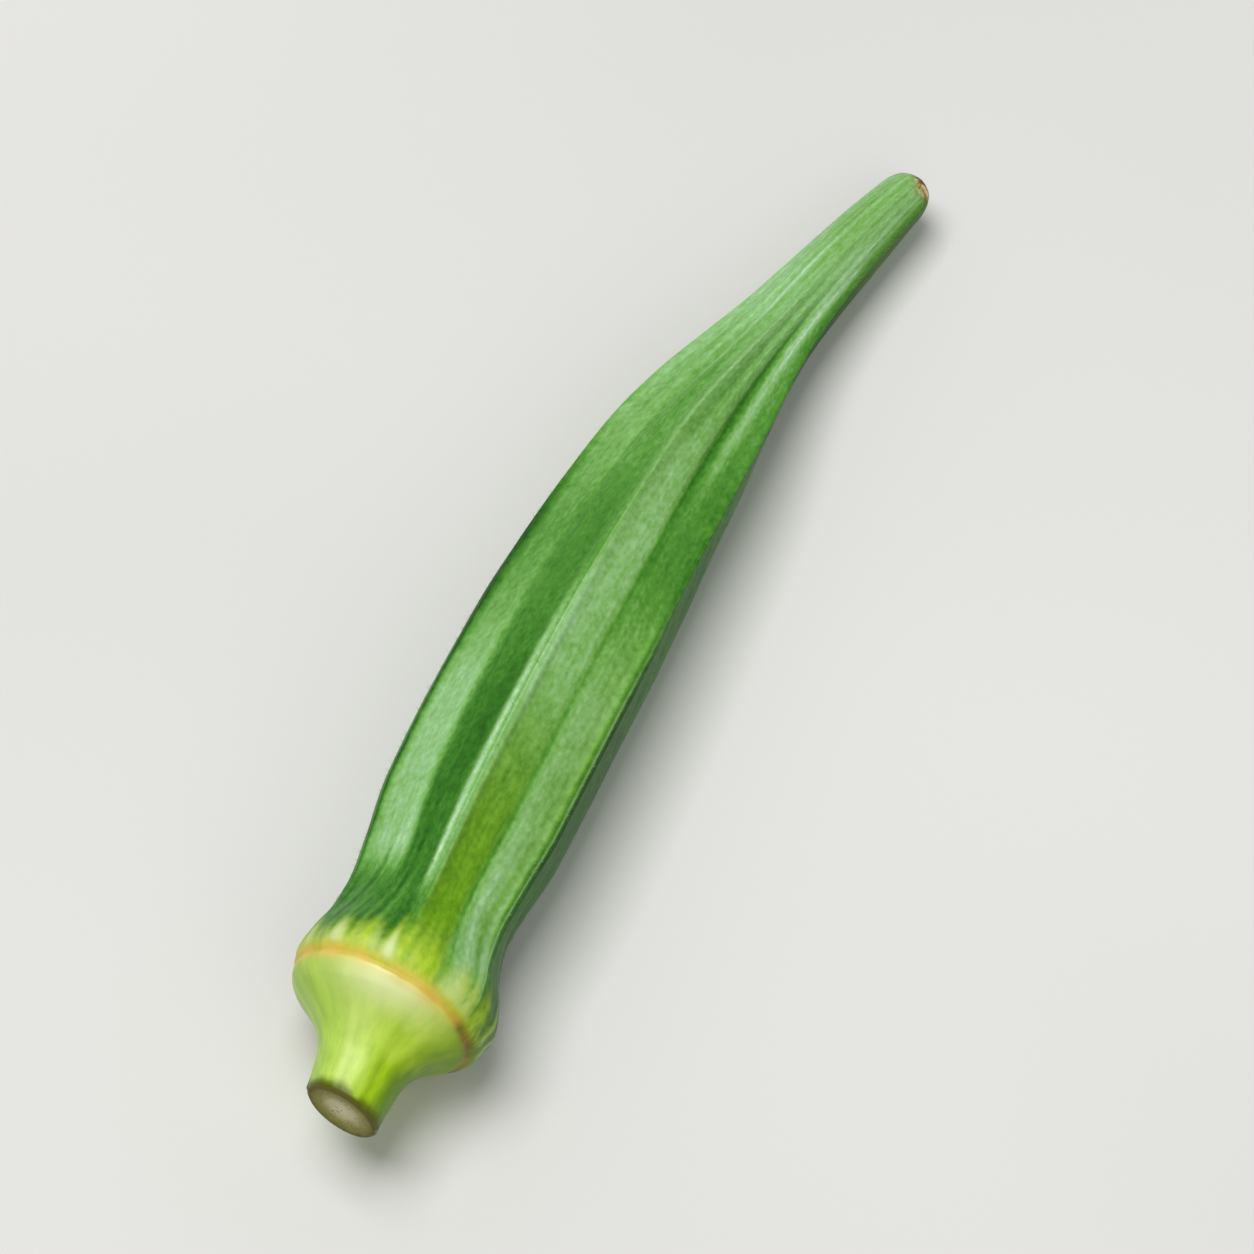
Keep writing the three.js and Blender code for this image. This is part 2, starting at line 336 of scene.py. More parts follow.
def skin_points(station, angle, radius):
    """Points of the skin: out from the axis by radius at the twisted angle, shifted along the
    axis by the slanted cut, and never below the surface the pod lies on."""
    s = follow_seam(station, angle)
    point, tangent, up, side = axis_frame(s)
    turned = np.radians(angle + TIP_TWIST * ease(s, *TWIST_SPAN))
    upward = radius * np.cos(turned)
    sideways = radius * np.sin(turned)
    slope = CUT_SLANT_UP * upward + CUT_SLANT_SIDE * sideways
    slant = -slope * np.maximum(0, 1 - s / CUT_SLANT_REACH)
    at = point + up * upward[..., None] + side * sideways[..., None] + tangent * slant[..., None]
    at[..., 2] = np.maximum(0, at[..., 2])
    return at


def skin_radius(station, angle):
    """Radius of the finished skin: the section with its ridges, face groove and fine relief."""
    s = follow_seam(station, angle)
    section = face_radius(s, angle) + ridges(s, angle) - face_groove(s, angle)
    return section + fine_relief(station, angle)


# Grid of the skin: closer stations at the seam and the tip, and closer columns at the ribs. Of each
# stretch along the pod: its start, its end and the number of steps.
STATION_STEPS = [
    (CUT_BEVEL, 8.6, 22), (8.6, 12.4, 34), (12.4, 19, 22), (19, 96, 148),
    (96, LENGTH - TIP_ROUNDING, 34),
]
TIP_STEPS = 10
CUT_RINGS = 9
COLUMNS_PER_FACE = 68
EVEN_SHARE = 0.62


def make_columns():
    """Angles round the pod in degrees: on each face an even spacing mixed with a cosine one, so
    that columns crowd towards the ribs."""
    even = np.arange(COLUMNS_PER_FACE) / COLUMNS_PER_FACE
    crowded = (1 - np.cos(np.pi * even)) / 2
    share = EVEN_SHARE * even + (1 - EVEN_SHARE) * crowded
    ends = np.append(RIB_ANGLES[1:], RIB_ANGLES[0] + 360)
    return (RIB_ANGLES[:, None] + (ends - RIB_ANGLES)[:, None] * share).ravel()


def make_stations():
    """Distances from the cut: even steps in each stretch, then a quarter sine over the tip."""
    parts = [np.linspace(a, b, n, endpoint=False) for a, b, n in STATION_STEPS]
    quarter = np.sin(np.arange(TIP_STEPS) / TIP_STEPS * np.pi / 2)
    return np.concatenate([*parts, LENGTH - TIP_ROUNDING + TIP_ROUNDING * quarter])


def mesh_from_rings(name, points, first, last):
    """Closed mesh from rings of points, all in the same order of columns: quads between rings and
    a fan of triangles to the end point at each end, with faces outwards."""
    rings, columns = points.shape[:2]
    grid = 1 + np.arange(rings * columns).reshape(rings, columns)
    ahead = np.roll(grid, -1, axis=1)
    quads = np.stack([grid[:-1], ahead[:-1], ahead[1:], grid[1:]], -1).reshape(-1, 4)
    end = rings * columns + 1
    first_fan = np.stack([np.zeros(columns, int), ahead[0], grid[0]], -1)
    last_fan = np.stack([np.full(columns, end), grid[-1], ahead[-1]], -1)
    mesh = bpy.data.meshes.new(name)
    verts = np.concatenate([[first], points.reshape(-1, 3), [last]])
    loops = np.concatenate([quads.ravel(), first_fan.ravel(), last_fan.ravel()])
    sizes = np.concatenate([np.full(len(quads), 4), np.full(2 * columns, 3)])
    starts = np.concatenate([[0], np.cumsum(sizes)[:-1]])
    mesh.vertices.add(len(verts))
    mesh.vertices.foreach_set("co", verts.ravel())
    mesh.loops.add(len(loops))
    mesh.loops.foreach_set("vertex_index", loops)
    mesh.polygons.add(len(sizes))
    mesh.polygons.foreach_set("loop_start", starts)
    mesh.polygons.foreach_set("loop_total", sizes)
    mesh.polygons.foreach_set("use_smooth", np.ones(len(sizes), bool))
    mesh.update(calc_edges=True)
    mesh.validate()
    return mesh


columns = make_columns()
stations = make_stations()
station_grid, angle_grid = np.meshgrid(stations, columns, indexing="ij")
cut_share = np.linspace(0, 1, CUT_RINGS + 1)[1:, None] * np.ones(len(columns))
cut_radius = (crest_radius(np.zeros(1)) - CUT_BEVEL) * cut_share
cut_depth = CUT_DISH * (1 - cut_share**2)
all_s = np.concatenate([cut_depth, station_grid])
all_angle = np.concatenate([np.broadcast_to(columns, cut_share.shape), angle_grid])
all_radius = np.concatenate([cut_radius, skin_radius(station_grid, angle_grid)])
rings = skin_points(all_s, all_angle, all_radius)
cut_middle = axis_frame(np.array([float(CUT_DISH)]))[0][0]
tip_end = axis_frame(np.array([float(LENGTH)]))[0][0]

# The pod is centred on its footprint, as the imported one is
low, high = rings.min((0, 1)), rings.max((0, 1))
centring = np.array([-(low[0] + high[0]) / 2, -(low[1] + high[1]) / 2, 0])
rings = (rings + centring) * MM
first, last = (cut_middle + centring) * MM, (tip_end + centring) * MM
pod_mesh = mesh_from_rings("okra_skin", rings, first, last)
pod = bpy.data.objects.new("okra_skin", pod_mesh)
bpy.context.scene.collection.objects.link(pod)
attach(pod, "root")
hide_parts("okra_pod")


# Greens of the body, kept as numbers at every point of the skin. Each half face is paler or darker
# than the next, partly in its own green and partly as painted sheen on the halves that face the
# light and painted shade on the low ones, and less so towards the tip. The ridges of the ribs show
# as fine lines of painted highlight and painted shade. The face below the top rib is olive by the
# shoulder, with a pale patch past it that is partly painted sheen.
TONE_STATIONS = [20, 45, 62, 84, 104]
# Tones at the stations on the first and the second half of each face, going round. Besides the
# skin's own unevenness they hold painted sheen in the pale ones and painted shade in the dark ones
HALF_FACE_TONES = np.array([
    [[0.42, 0.7, 0.68, 0.58, 0.76], [0.72, 0.76, 0.3, 0.46, 0.74]],
    [[0.12, 0.12, 0.14, 0.16, 0.2], [0.3, 0.34, 0.4, 0.42, 0.46]],
    [[0.42, 0.44, 0.5, 0.5, 0.56], [0.56, 0.56, 0.5, 0.5, 0.56]],
    [[0.6, 0.56, 0.5, 0.5, 0.56], [0.34, 0.36, 0.42, 0.46, 0.56]],
    [[0.84, 0.68, 0.46, 0.7, 0.76], [0.16, 0.22, 0.38, 0.52, 0.74]],
])
# The faces on the near, -Y, side of the top rib and on its far side. A span gives where a shade
# starts, is full, starts to fade and ends, in millimetres, degrees or shares of a face.
NEAR_FACE, FAR_FACE = 0, 4
FAR_FACE_EDGE = [(20, 0.6), (42, 0.5), (72, 0.5), (88, 0.64)]
EDGE_SOFTNESS = 0.07
FAR_RIM = (2, 9)
FAR_RIM_SPAN = (20, 26, 60, 80)
FAR_RIM_DARKNESS = 0.45
# Painted shade in the hollow of the neck past the shoulder: where it lies, the side it leaves out,
# its tone
NECK_SPAN = (9, 11, 19.5, 25)
NECK_SIDE = (40, 70)
PAINTED_NECK_SHADE = 0.26
PATCH_TONE = 0.72
PATCH_SPAN = (32, 54, 76, 86)
PATCH_ACROSS = (0.02, 0.1, 0.38, 0.5)
PATCH_NARROWING = 0.24
PATCH_NARROWS = (68, 86)
# Painted highlight, or painted shade below 0, along the ridges before and after each rib, and the
# widths of these lines
PAINTED_RIB_LINES = np.array([[0.74, 0.14], [-0.5, -0.3], [0.2, 0.2], [0.2, 0.2], [-0.2, -0.3]])
RIB_LINE_WIDTHS = np.array([[2.6, 1.6], [1.3, 1.3], [1.3, 1.3], [1.3, 1.3], [1.3, 1.3]])
RIB_LINE_SPAN = (17, 24, 84, 100)
RIB_LINE_FADES = (40, 60)
RIB_LINE_LOSS = 0.85
RIB_LINE_JOINING = 0.6
TOP_RIB_GAP = 0.2
TOP_RIB_GAP_WIDTH = 1.2
# Painted shade in the groove down each face, by face, and a dark painted line along the near face's
# groove
PAINTED_GROOVE_SHADES = np.array([0.4, 0.25, 0.25, 0.25, 0.06])
PAINTED_GROOVE_LINE = 0.16
GROOVE_LINE_WIDTH = 1.6
GROOVE_LINE_SPAN = (17, 22, 70, 90)
# Painted highlight on the flank past the near face's groove, along the taper
PAINTED_RIDGE_HIGHLIGHT = 0.36
PALE_RIDGE_ANGLE = 38
PALE_RIDGE_WIDTH = 6
PALE_RIDGE_SPAN = (66, 80, 96, 112)
# Painted shade on the low side of the taper and tip
PAINTED_LOW_SIDE_SHADE = 0.5
LOW_SIDE_ROUND = (40, 56, 90, 130)
LOW_SIDE_STARTS = (80, 104)
CLOUDING = 0.06
CLOUD_DRIFT = (30, 21)
LONG_STREAKS = 0.07
LONG_STREAKS_START = (66, 88)
LONG_STREAK_WAVES = ((13, 19, 26, 35), 28)
LONG_STREAK_SWAY = 2
LONG_STREAK_DRIFT = (60, 27)
FINE_STREAKS = 0.02
FINE_STREAK_WAVES = ((33, 47, 71, 90), 22)
CREASE_SHADE = 0.1
CREASE_SPAN = (12, 15, 19, 32)
CREASE_WAVES = ((19, 27, 38, 53), 30)
CREASE_SWAY = 3
CREASE_DRIFT = (20, 31)
OLIVE_SPAN = (13, 18, 26, 50)
OLIVE_ROUND = (0, 5, 24, 30)
OLIVE_WARMTH = 0.9
BEYOND_GROOVE_SPAN = (14, 20, 40, 64)
BEYOND_GROOVE = (27, 33)
LIME_EDGE_ROUND = (38, 48, 50, 56)
TIP_WARMS = (96, 112)
PATCH_WARMTH = 0.6
SLIGHT_WARMTH = 0.28


def half_face_tone(s, angle):
    """Tone of the body from 0, dark, to 1, pale: each half face's own, in straight lines between
    the stations, with a soft edge at the face's middle; these tones are partly the skin's own and
    partly painted sheen and painted shade. Added to it are a dark rim on the far face, a dark neck
    of painted shade, and a pale patch on the near face, partly painted sheen, that narrows towards
    the groove."""
    face, along, half = face_place(angle)
    across = along / (2 * half)
    first, second = np.zeros(np.shape(across)), np.zeros(np.shape(across))
    for k in range(len(RIB_ANGLES)):
        first = np.where(face == k, np.interp(s, TONE_STATIONS, HALF_FACE_TONES[k, 0]), first)
        second = np.where(face == k, np.interp(s, TONE_STATIONS, HALF_FACE_TONES[k, 1]), second)
    past_edge = across - np.where(face == FAR_FACE, through(FAR_FACE_EDGE, s), 0.5)
    tone = first + (second - first) * ease(past_edge, -EDGE_SOFTNESS, EDGE_SOFTNESS)
    rim = (face == FAR_FACE) * (1 - ease(along, *FAR_RIM)) * span(s, *FAR_RIM_SPAN)
    tone = tone - FAR_RIM_DARKNESS * rim
    off_low_side = 1 - ease(angle_from(angle, 0), *NECK_SIDE)
    # The neck's dark tone is painted shade in the hollow past the shoulder
    neck = span(s, *NECK_SPAN) * (face != NEAR_FACE) * off_low_side
    tone = tone + (PAINTED_NECK_SHADE - tone) * neck
    narrowing = PATCH_NARROWING * ease(s, *PATCH_NARROWS)
    start, full, last, end = PATCH_ACROSS
    patch = span(s, *PATCH_SPAN) * (face == NEAR_FACE)
    patch = patch * span(across, start + narrowing / 2, full + narrowing, last, end)
    return tone + (PATCH_TONE - tone) * patch


def painted_ridge_lines(s, angle):
    """Painted highlights and painted shade as fine lines on the two ridges of each rib: a bell round
    each ridge times its brightness, with a pale gap between the top rib's two, all fainter past the
    belly."""
    face, along, half = face_place(angle)
    from_rib = np.minimum(along, 2 * half - along)
    nearest = np.where(along < half, face, (face + 1) % len(RIB_ANGLES))
    joined = ease(s, *RIDGE_JOIN)
    after = (along < half).astype(int)
    from_line = from_rib - RIDGE_SPREAD * (1 - RIB_LINE_JOINING * joined)
    line = PAINTED_RIB_LINES[nearest, after] * bell(from_line, RIB_LINE_WIDTHS[nearest, after])
    gap = TOP_RIB_GAP * (nearest == 0) * bell(from_rib, TOP_RIB_GAP_WIDTH)
    return (line + gap) * span(s, *RIB_LINE_SPAN) * (1 - RIB_LINE_LOSS * ease(s, *RIB_LINE_FADES))


face, from_rib, half_face = face_place(all_angle)
on_near_face = face == NEAR_FACE
from_top = angle_from(all_angle, 0)
past_seam = all_s - seam_middle(all_angle)
# Painted shade in the face grooves, darker where they are deeper, and a painted dark line in the
# near face's groove
painted_groove_shade = PAINTED_GROOVE_SHADES[face] * face_groove(all_s, all_angle) / GROOVE_DEPTH_TAPER
painted_groove_line = on_near_face * bell(from_rib - half_face, GROOVE_LINE_WIDTH)
painted_groove_line = PAINTED_GROOVE_LINE * painted_groove_line * span(all_s, *GROOVE_LINE_SPAN)
# Painted highlight on the lit flank past the near face's groove
painted_ridge_highlight = on_near_face * bell(from_rib - PALE_RIDGE_ANGLE, PALE_RIDGE_WIDTH)
painted_ridge_highlight = PAINTED_RIDGE_HIGHLIGHT * painted_ridge_highlight * span(all_s, *PALE_RIDGE_SPAN)
# Painted shade on the low side of the taper and tip
painted_low_side_shade = PAINTED_LOW_SIDE_SHADE * span(from_top, *LOW_SIDE_ROUND) * ease(all_s, *LOW_SIDE_STARTS)
swaying = all_angle + LONG_STREAK_SWAY * drifting(all_s, all_angle, *LONG_STREAK_DRIFT)
long_streaks = waves(swaying, *LONG_STREAK_WAVES) * ease(all_s, *LONG_STREAKS_START)
swaying = all_angle + CREASE_SWAY * drifting(all_s, all_angle, *CREASE_DRIFT)
creases = waves(swaying, *CREASE_WAVES)
tone = half_face_tone(all_s, all_angle) + painted_ridge_lines(all_s, all_angle)
tone = tone - painted_groove_shade - painted_groove_line + painted_ridge_highlight - painted_low_side_shade
tone = tone + CLOUDING * drifting(all_s, all_angle, *CLOUD_DRIFT) + LONG_STREAKS * long_streaks
tone = tone + FINE_STREAKS * waves(all_angle, *FINE_STREAK_WAVES)
tone = tone + CREASE_SHADE * creases * span(all_s, *CREASE_SPAN)
olive = span(all_s, *OLIVE_SPAN) * on_near_face * span(from_rib, *OLIVE_ROUND)
beyond_groove = span(all_s, *BEYOND_GROOVE_SPAN) * on_near_face * ease(from_rib, *BEYOND_GROOVE)
lime_edge = beyond_groove * span(from_rib, *LIME_EDGE_ROUND)
on_patch = span(all_s, *PATCH_SPAN) * on_near_face * (from_rib < half_face)
slight = beyond_groove + lime_edge + ease(all_s, *TIP_WARMS) + PATCH_WARMTH * on_patch
warm = np.clip(OLIVE_WARMTH * olive + SLIGHT_WARMTH * slight, 0, 1)


# Marks of the stalk, cap, shoulder and tip. The cap is green on one side and lime on the other,
# with painted shade on the low side of the stalk, cap and shoulder and a painted highlight on the
# upper side of the stalk and cap. A thin corky ring fills the seam, left by the fallen flower, and
# turns a darker brown towards the low side. Past it the lime shoulder has cream pleats and green
# tongues. The tip ends in a dry scar.
CAP_EDGE = (-0.3, 0.1)
CAP_LIME_TURN = 5
LIME_FROM = 11.4
LIME_TO = 15.8
LIME_REACH = 4
LIME_REACH_ANGLE = 18
LIME_REACH_WIDTH = 16
TONGUE_LENGTH = 1.6
TONGUE_MIDDLE = 0.7
TONGUE_WAVES = ((5, 9, 17), 23)
TONGUE_UNEVENNESS = 0.5
TONGUE_CREASES = 0.26
FOLD_ANGLES = (28.5, 60)
FOLD_WIDTH = 2.2
FOLD_GREEN = 0.55
FOLD_STARTS = (0.3, 1.5)
# Painted shade on the low side of the cap and shoulder, and on the stalk's low side; the creases'
# lighter streaks are the skin's own
PAINTED_LOW_SHADE = 0.8
LOW_SHADE_ROUND = (40, 96, 110, 150)
LOW_SHADE_ENDS = (8, 12)
PAINTED_STALK_SHADE = 0.5
STALK_SHADE_ROUND = (0, 62, 110, 150)
STALK_SHADE_ENDS = (3.5, 7)
CREASES_LIGHT = 0.24
CREASES_LIGHT_SPAN = (0.3, 1.5, 4, 9)
CREAM_SPAN = (0.3, 1.1, 1.5, 5)
CREAM_MOST = 1.1
CREAM_POINTS = 0.65
CREAM_POINTS_ALONG = (0.8, 4.5)
LIP_PALENESS = 0.85
LIP_ANGLE = 4
LIP_SPREAD = 33
LIP_SPAN = (-3.4, -0.7, -0.4, -0.1)
# Painted highlight on the upper side of the stalk and cap, put in the lip's mask
PAINTED_HIGHLIGHT_PALENESS = 0.2
SUNNY_ANGLE = -10
SUNNY_SPREAD = 22
SUNNY_SPAN = (0.3, 2, 7, 10)
RING_WIDTH = 0.76
RING_THINNING = 0.45
RING_THINS = (20, 70)
RING_STRENGTH = 0.8
RING_LEAST, RING_MOST = 0.5, 0.95
RING_WAVES = ((3, 7, 16), 24)
RING_DARKENS = (24, 70)
DARKENING_WAVES = ((6, 13, 19), 26)
UNEVEN_SHARE = 0.2
SCAR_AT = (119.3, 28)
SCAR_SPAN = (0.8, 2.2)
SCAR_RAGGEDNESS = 0.4
SCAR_ROUNDS = 9
SCAR_DRIFT = (2.5, 25)
RIND_FROM = 0.4
RIND_TO = 1.3
RIND_RAGGEDNESS = 0.4
RIND_WAVES = ((2, 5, 9), 29)
GRAIN_RADIUS = 10
PITH_GRAIN_RADIUS = 6

cap = 1 - ease(past_seam, *CAP_EDGE)
cap_lime = 0.5 + 0.5 * np.sin(np.radians(all_angle + CAP_LIME_TURN))
warm = warm * (1 - cap) + cap_lime * cap
tongues = pleat_pattern(all_angle, PLEAT_HEIGHT_COLUMN) - TONGUE_MIDDLE
tongues = tongues + TONGUE_UNEVENNESS * waves(all_angle, *TONGUE_WAVES) + TONGUE_CREASES * creases
lime_end = LIME_TO + LIME_REACH * bell(angle_from(all_angle, LIME_REACH_ANGLE), LIME_REACH_WIDTH)
lime = 1 - ease(all_s - TONGUE_LENGTH * tongues, LIME_FROM, lime_end)
folds = sum(bell(angle_from(all_angle, a), FOLD_WIDTH) for a in FOLD_ANGLES)
lime = lime * (1 - FOLD_GREEN * folds * ease(past_seam, *FOLD_STARTS))
# Painted shade on the low side of the cap, shoulder and stalk, less the creases' own lighter streaks
painted_low_shade = span(from_top, *LOW_SHADE_ROUND) * (1 - ease(past_seam, *LOW_SHADE_ENDS))
painted_stalk_shade = span(from_top, *STALK_SHADE_ROUND) * (1 - ease(all_s, *STALK_SHADE_ENDS))
crease_light = creases * span(past_seam, *CREASES_LIGHT_SPAN)
painted_shade_and_streaks = PAINTED_LOW_SHADE * painted_low_shade + PAINTED_STALK_SHADE * painted_stalk_shade - CREASES_LIGHT * crease_light
pointed = 1 - CREAM_POINTS * ease(past_seam, *CREAM_POINTS_ALONG)
cream = np.clip(pleat_pattern(all_angle, PLEAT_CREAM_COLUMN, pointed), 0, CREAM_MOST)
cream = cream * span(past_seam, *CREAM_SPAN)
lip = bell(angle_from(all_angle, LIP_ANGLE), LIP_SPREAD) * span(past_seam, *LIP_SPAN)
# Painted highlight on the upper side of the stalk and cap, mixed in with the lip's cream
painted_highlight = bell(angle_from(all_angle, SUNNY_ANGLE), SUNNY_SPREAD) * span(all_s, *SUNNY_SPAN)
lip = LIP_PALENESS * lip + PAINTED_HIGHLIGHT_PALENESS * painted_highlight
ring_width = RING_WIDTH * (1 - RING_THINNING * ease(from_top, *RING_THINS))
ring_strength = RING_STRENGTH + UNEVEN_SHARE * waves(all_angle, *RING_WAVES)
ring = bell(past_seam, ring_width) * np.clip(ring_strength, RING_LEAST, RING_MOST)
ring_darkening = ease(from_top, *RING_DARKENS) + UNEVEN_SHARE * waves(all_angle, *DARKENING_WAVES)
ring_darkening = np.clip(ring_darkening, 0, 1)
scar_place = np.array(SCAR_AT[0]), np.array(SCAR_AT[1])
scar_middle = skin_points(*scar_place, crest_radius(scar_place[0]))
from_scar = np.linalg.norm(rings / MM - centring - scar_middle, axis=-1)
from_scar = from_scar + SCAR_RAGGEDNESS * drifting(all_s, all_angle * SCAR_ROUNDS, *SCAR_DRIFT)
scar = 1 - ease(from_scar, *SCAR_SPAN)
cut = np.concatenate([cut_share, 1 + station_grid])
rind = 1 - ease(all_s, RIND_FROM, RIND_TO + RIND_RAGGEDNESS * waves(all_angle, *RIND_WAVES))

# Place of each point with the skin unrolled onto an even tube, so that the grain has one scale
round_turn = np.radians(all_angle)
grain_radius = np.where(cut <= 1, PITH_GRAIN_RADIUS * cut, GRAIN_RADIUS)
unrolled = [np.cos(round_turn) * grain_radius, np.sin(round_turn) * grain_radius, all_s]
unrolled = np.stack(unrolled, -1)


def ends_too(grid, first, last):
    """A grid of values for the rings, with those of the two end points put before and after."""
    flat = grid.reshape(-1, *grid.shape[2:])
    return np.concatenate([[first], flat, [last]])


on_skin = {
    "tone": ends_too(tone, 0.5, 0.5),
    "warm": ends_too(warm, 0, 0),
    "lime": ends_too(lime, 1, 0),
    "painted_shade_and_streaks": ends_too(painted_shade_and_streaks, 0, 0),
    "cream": ends_too(cream, 0, 0),
    "cap": ends_too(cap, 1, 0),
    "ring": ends_too(ring, 0, 0),
    "ring_darkening": ends_too(ring_darkening, 0, 0),
    "lip": ends_too(lip, 0, 0),
    "scar": ends_too(scar, 0, 1),
    "cut": ends_too(cut, 0, 1 + LENGTH),
    "rind": ends_too(rind, 0, 0),
}
for name, values in on_skin.items():
    layer = pod_mesh.attributes.new(name, "FLOAT", "POINT")
    layer.data.foreach_set("value", values.astype(np.float32))
layer = pod_mesh.attributes.new("unrolled", "FLOAT_VECTOR", "POINT")
unrolled_points = ends_too(unrolled, [0, 0, 0], [0, 0, LENGTH])
layer.data.foreach_set("vector", unrolled_points.astype(np.float32).ravel())


# Finish of the skin: satin and waxy on the cap, slightly velvety on the body, with fine fibres along
# the pod and pale dots where hairs stand. The seam's ring is corky and the tip's scar dry and
# brown. The cut face is a pale flecked pith that darkens to an olive rind and a thin brown rim.
def paint(red, green, blue):
    """A colour given as seen, 0 to 255, turned to the linear values that shaders take: a straight
    line for the darkest, and a power of 2.4 for the rest."""
    seen = np.array([red, green, blue]) / 255
    linear = np.where(seen <= 0.04045, seen / 12.92, ((seen + 0.055) / 1.055) ** 2.4)
    return (*linear, 1)


def add_node(tree, kind, inputs=None, **settings):
    """Adds a node with its settings. Each input is linked if its value is a socket, or else set."""
    made = tree.nodes.new(kind)
    for name, value in settings.items():
        setattr(made, name, value)
    for name, value in (inputs or {}).items():
        if isinstance(value, bpy.types.NodeSocket):
            tree.links.new(value, made.inputs[name])
        else:
            made.inputs[name].default_value = value
    return made


def add_ramp(tree, factor, stops):
    """Colour ramp with the given (position, colour) stops, driven by factor."""
    made = add_node(tree, "ShaderNodeValToRGB", {"Fac": factor})
    elements = made.color_ramp.elements
    elements[0].position, elements[0].color = stops[0]
    elements[1].position, elements[1].color = stops[-1]
    for position, colour in stops[1:-1]:
        elements.new(position).color = colour
    return made.outputs["Color"]


def add_math(tree, operation, *values, clamp=False):
    """One operation on numbers or sockets."""
    inputs = dict(enumerate(values))
    made = add_node(tree, "ShaderNodeMath", inputs, operation=operation, use_clamp=clamp)
    return made.outputs["Value"]


def spread(tree, value, amount):
    """How far a number from 0 to 1 is above its middle, times an amount."""
    return add_math(tree, "MULTIPLY_ADD", value, amount, -amount / 2)


def add_up(tree, *terms):
    """Sum of numbers or sockets, held between 0 and 1."""
    total = terms[0]
    for term in terms[1:]:
        total = add_math(tree, "ADD", total, term)
    return add_math(tree, "MAXIMUM", total, 0.0, clamp=True)


def mix_colours(tree, factor, first, second):
    """First colour turned into the second by factor."""
    made = add_node(tree, "ShaderNodeMix", {"Factor": factor}, data_type="RGBA")
    for socket, value in (("A_Color", first), ("B_Color", second)):
        found = next(i for i in made.inputs if i.identifier == socket)
        if isinstance(value, bpy.types.NodeSocket):
            tree.links.new(value, found)
        else:
            found.default_value = value
    return next(o for o in made.outputs if o.identifier == "Result_Color")


def new_material(name):
    """Material with only a Principled shader joined to its output. Gives the material, its tree
    and the shader."""
    made = bpy.data.materials.new(name)
    made.use_nodes = True
    made.node_tree.nodes.clear()
    shader = add_node(made.node_tree, "ShaderNodeBsdfPrincipled")
    add_node(made.node_tree, "ShaderNodeOutputMaterial", {"Surface": shader.outputs["BSDF"]})
    return made, made.node_tree, shader


def read_number(tree, name):
    """The number stored under a name at every point."""
    return add_node(tree, "ShaderNodeAttribute", attribute_name=name).outputs["Fac"]


def streaks(tree, place, across, along, detail):
    """Noise drawn out along the pod, with the given number of streaks across and along it in each
    unit of the place."""
    scaled = add_node(tree, "ShaderNodeMapping", {"Vector": place, "Scale": (across, across, along)})
    inputs = {"Vector": scaled.outputs["Vector"], "Scale": 1.0, "Detail": detail}
    return add_node(tree, "ShaderNodeTexNoise", inputs).outputs["Fac"]


BODY_STOPS = [
    (0.0, paint(24, 74, 4)), (0.2, paint(48, 112, 20)), (0.45, paint(84, 146, 50)),
    (0.65, paint(122, 175, 92)), (0.84, paint(152, 197, 140)), (1.0, paint(190, 222, 186)),
]
CAP_GREEN_STOPS = [(0.0, paint(90, 134, 6)), (0.3, paint(120, 168, 26)), (0.7, paint(196, 228, 98))]
CAP_LIME_STOPS = [(0.0, paint(104, 142, 0)), (0.3, paint(152, 188, 8)), (0.7, paint(214, 238, 86))]
RING_STOPS = [(0.0, paint(222, 186, 88)), (0.45, paint(204, 168, 60)), (1.0, paint(120, 94, 18))]
CUT_STOPS = [
    (0.0, paint(212, 206, 168)), (0.4, paint(192, 186, 140)), (0.62, paint(150, 146, 86)),
    (0.85, paint(126, 126, 50)), (1.0, paint(98, 88, 30)),
]
CUT_FLECK = paint(96, 78, 56)
RIND_GREEN = paint(84, 92, 6)
OLIVE_STOPS = [(0.25, paint(72, 120, 0)), (0.75, paint(112, 162, 8))]
SHOULDER_STOPS = [(0.0, paint(84, 130, 0)), (0.3, paint(150, 184, 14)), (0.75, paint(182, 208, 48))]
PLEAT_CREAM = paint(202, 218, 150)
LIP_CREAM = paint(240, 244, 186)
SCAR_STOPS = [
    (0.38, paint(64, 42, 14)), (0.5, paint(146, 102, 46)), (0.6, paint(222, 192, 134)),
]
# Of each grain pattern: streaks per millimetre across and along the pod, and its detail
GRAINS = {
    "fibres": (2.4, 0.12, 3.0), "broad": (0.75, 0.04, 2.0), "mottle": (0.5, 0.5, 3.0),
    "speckle": (1.9, 1.33, 2.0),
}
SCAR_GRAIN = (1.1 / MM, 1.1 / MM, 2.0)
HAIR_DOTS = 2.1
HAIR_DOT_REACH = {"From Min": 0.05, "From Max": 0.16, "To Min": 1.0, "To Max": 0.0}
HAIR_DOT_SHADE = 0.04
# How much each grain pattern shades each kind of skin, its roughness or its relief
BODY_GRAIN = {"fibres": 0.14, "broad": 0.2, "mottle": 0.2, "speckle": 0.4}
SHOULDER_GRAIN = {"speckle": 0.7, "mottle": 0.5, "broad": 0.4}
CAP_GRAIN = {"broad": 0.15, "mottle": 0.36}
RING_GRAIN = {"mottle": 0.5}
CUT_GRAIN = {"mottle": 0.2, "speckle": 0.36}
ROUGHNESS_GRAIN = {"fibres": 0.14}
RELIEF_GRAIN = {"speckle": 0.6}
